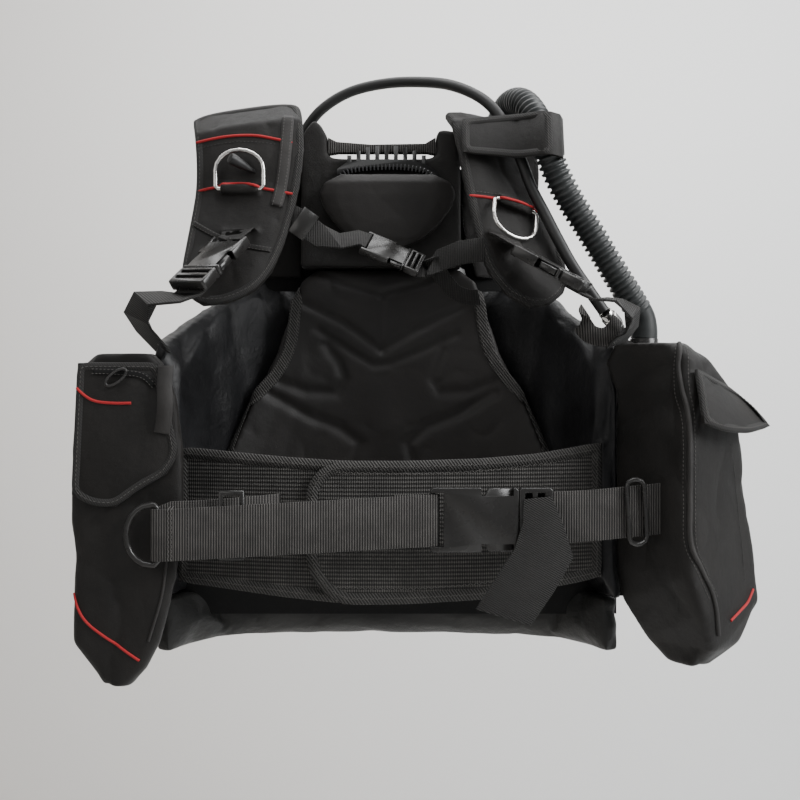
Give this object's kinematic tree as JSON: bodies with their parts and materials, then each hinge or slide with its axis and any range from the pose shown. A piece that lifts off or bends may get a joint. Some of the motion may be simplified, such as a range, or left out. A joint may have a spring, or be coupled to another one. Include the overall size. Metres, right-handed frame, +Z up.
{
  "type": "buoyancy compensator vest",
  "caption": "Black scuba buoyancy vest with padded shoulder straps, cummerbund, zip pockets, inflator hose and tank backpack.",
  "frame": {"origin": "middle of the flat land on the backpack's rear face, where the tank rests", "axes": "+Y out of the wearer's back towards the tank, +Z up towards the head, +X towards the wearer's left"},
  "size_m": [0.6999, 0.4352, 0.6489],
  "materials": {
    "black_plastic": "satin moulded black plastic",
    "button_plastic": "glossier dark grey plastic",
    "steel": "polished stainless steel",
    "rubber": "soft black rubber",
    "hose_rubber": "dark grey corrugated rubber",
    "webbing": "woven dark grey webbing with fine ribs",
    "pad_fabric": "smooth coated fabric over foam",
    "shiny_nylon": "coated black nylon with a soft sheen",
    "belt_mesh": "coarse black mesh fabric with bound edges",
    "nylon": "matt black woven nylon"
  },
  "bodies": {
    "vest": {"air_cell_left": "shiny_nylon", "air_cell_lower": "shiny_nylon", "air_cell_right": "shiny_nylon", "back_pad": "pad_fabric", "backpack_shell": "black_plastic", "cam_buckle_body": "black_plastic", "carry_handle": "webbing", "chest_buckle_plug": "black_plastic", "chest_buckle_socket": "black_plastic", "chest_slider": "black_plastic", "chest_strap_left": "webbing", "chest_strap_right": "webbing", "corrugated_hose": "hose_rubber", "cummerbund_left": "belt_mesh", "cummerbund_right": "belt_mesh", "dump_valve_rear": "black_plastic", "hose_cover_flap": "nylon", "hose_elbow": "black_plastic", "inflator_body": "black_plastic", "lp_coupling": "steel", "lp_fitting": "steel", "lp_hose": "rubber", "mouthpiece": "rubber", "neck_comb": "rubber", "neck_pad": "pad_fabric", "pocket_left": "nylon", "pocket_right": "nylon", "shoulder_left_buckle_plug": "black_plastic", "shoulder_left_buckle_socket": "black_plastic", "shoulder_right_buckle_plug": "black_plastic", "shoulder_right_buckle_socket": "black_plastic", "shoulder_strap_left": "nylon", "shoulder_strap_right": "nylon", "shoulder_webbing_left": "webbing", "shoulder_webbing_right": "webbing", "tank_band": "webbing", "waist_buckle_plug": "black_plastic", "waist_buckle_socket": "black_plastic", "waist_ring_left": "black_plastic", "waist_slider": "black_plastic", "waist_strap_left": "webbing", "waist_strap_right": "webbing", "waist_strap_tail": "webbing", "yoke": "nylon"},
    "waist_prong_upper": {"waist_prong_upper": "black_plastic"},
    "waist_prong_lower": {"waist_prong_lower": "black_plastic"},
    "shoulder_right_prong_upper": {"shoulder_right_prong_upper": "black_plastic"},
    "shoulder_right_prong_lower": {"shoulder_right_prong_lower": "black_plastic"},
    "shoulder_left_prong_upper": {"shoulder_left_prong_upper": "black_plastic"},
    "shoulder_left_prong_lower": {"shoulder_left_prong_lower": "black_plastic"},
    "shoulder_ring_right": {"shoulder_ring_right": "steel"},
    "shoulder_ring_left": {"shoulder_ring_left": "steel"},
    "waist_ring_right": {"waist_ring_right": "black_plastic"},
    "cam_buckle_lever": {"cam_buckle_lever": "black_plastic"},
    "pocket_flap_right": {"pocket_flap_right": "nylon"},
    "pocket_flap_left": {"pocket_flap_left": "nylon"},
    "inflate_button": {"inflate_button": "button_plastic"},
    "deflate_button": {"deflate_button": "button_plastic"},
    "dump_toggle": {"dump_toggle": "rubber"},
    "dump_toggle_rear": {"dump_toggle_rear": "rubber"}
  },
  "joints": [
    {"name": "waist_prong_upper_squeeze", "type": "hinge", "parent": "vest", "child": "waist_prong_upper", "pos_m": [0.124, -0.216, -0.1025], "axis": [0, -1, 0], "range_deg": [0, 9], "stiffness_Nm_per_rad": 0.6},
    {"name": "waist_prong_lower_squeeze", "type": "hinge", "parent": "vest", "child": "waist_prong_lower", "pos_m": [0.124, -0.216, -0.1275], "axis": [0, 1, 0], "range_deg": [0, 9], "stiffness_Nm_per_rad": 0.6},
    {"name": "shoulder_right_prong_upper_squeeze", "type": "hinge", "parent": "vest", "child": "shoulder_right_prong_upper", "pos_m": [-0.17602, -0.18498, 0.12919], "axis": [-0.3324, -0.5641, 0.7559], "range_deg": [0, 9], "stiffness_Nm_per_rad": 0.6},
    {"name": "shoulder_right_prong_lower_squeeze", "type": "hinge", "parent": "vest", "child": "shoulder_right_prong_lower", "pos_m": [-0.19165, -0.17424, 0.13033], "axis": [0.3324, 0.5641, -0.7559], "range_deg": [0, 9], "stiffness_Nm_per_rad": 0.6},
    {"name": "shoulder_left_prong_upper_squeeze", "type": "hinge", "parent": "vest", "child": "shoulder_left_prong_upper", "pos_m": [0.17872, -0.17167, 0.12523], "axis": [0.4505, -0.224, 0.8642], "range_deg": [0, 9], "stiffness_Nm_per_rad": 0.6},
    {"name": "shoulder_left_prong_lower_squeeze", "type": "hinge", "parent": "vest", "child": "shoulder_left_prong_lower", "pos_m": [0.172, -0.18941, 0.12414], "axis": [-0.4505, 0.224, -0.8642], "range_deg": [0, 9], "stiffness_Nm_per_rad": 0.6},
    {"name": "right_d_ring_swing", "type": "hinge", "parent": "vest", "child": "shoulder_ring_right", "pos_m": [-0.156, -0.123, 0.222], "axis": [0.9982, -0.0599, 0], "range_deg": [0, 140]},
    {"name": "left_d_ring_swing", "type": "hinge", "parent": "vest", "child": "shoulder_ring_left", "pos_m": [0.135, -0.122, 0.205], "axis": [-0.8906, -0.3562, 0.2829], "range_deg": [0, 22]},
    {"name": "waist_ring_swing", "type": "hinge", "parent": "vest", "child": "waist_ring_right", "pos_m": [-0.221, -0.216, -0.13], "axis": [0, 0, 1], "range_deg": [0, 110]},
    {"name": "cam_lever_open", "type": "hinge", "parent": "vest", "child": "cam_buckle_lever", "pos_m": [0.02799, 0.19647, -0.06], "axis": [0, 0, 1], "range_deg": [0, 110]},
    {"name": "right_flap_lift", "type": "hinge", "parent": "vest", "child": "pocket_flap_right", "pos_m": [-0.26, -0.20795, 0.036], "axis": [-1, 0, 0], "range_deg": [0, 110]},
    {"name": "left_flap_lift", "type": "hinge", "parent": "vest", "child": "pocket_flap_left", "pos_m": [0.3225, -0.196, 0.0195], "axis": [-0.7122, -0.625, 0.3197], "range_deg": [0, 110]},
    {"name": "inflate_button_press", "type": "slide", "parent": "vest", "child": "inflate_button", "axis": [0, 1, 0], "range_m": [0, 0.0035], "stiffness_N_per_m": 300},
    {"name": "deflate_button_press", "type": "slide", "parent": "vest", "child": "deflate_button", "axis": [0, 1, 0], "range_m": [0, 0.0035], "stiffness_N_per_m": 300},
    {"name": "shoulder_dump_pull", "type": "slide", "parent": "vest", "child": "dump_toggle", "axis": [0, -1, 0], "range_m": [0, 0.015]},
    {"name": "rear_dump_pull", "type": "slide", "parent": "vest", "child": "dump_toggle_rear", "axis": [0, 1, 0], "range_m": [0, 0.015]}
  ],
  "couplings": [
    {"joint": "waist_prong_lower_squeeze", "follows": "waist_prong_upper_squeeze", "ratio": 1},
    {"joint": "shoulder_right_prong_lower_squeeze", "follows": "shoulder_right_prong_upper_squeeze", "ratio": 1},
    {"joint": "shoulder_left_prong_lower_squeeze", "follows": "shoulder_left_prong_upper_squeeze", "ratio": 1}
  ]
}
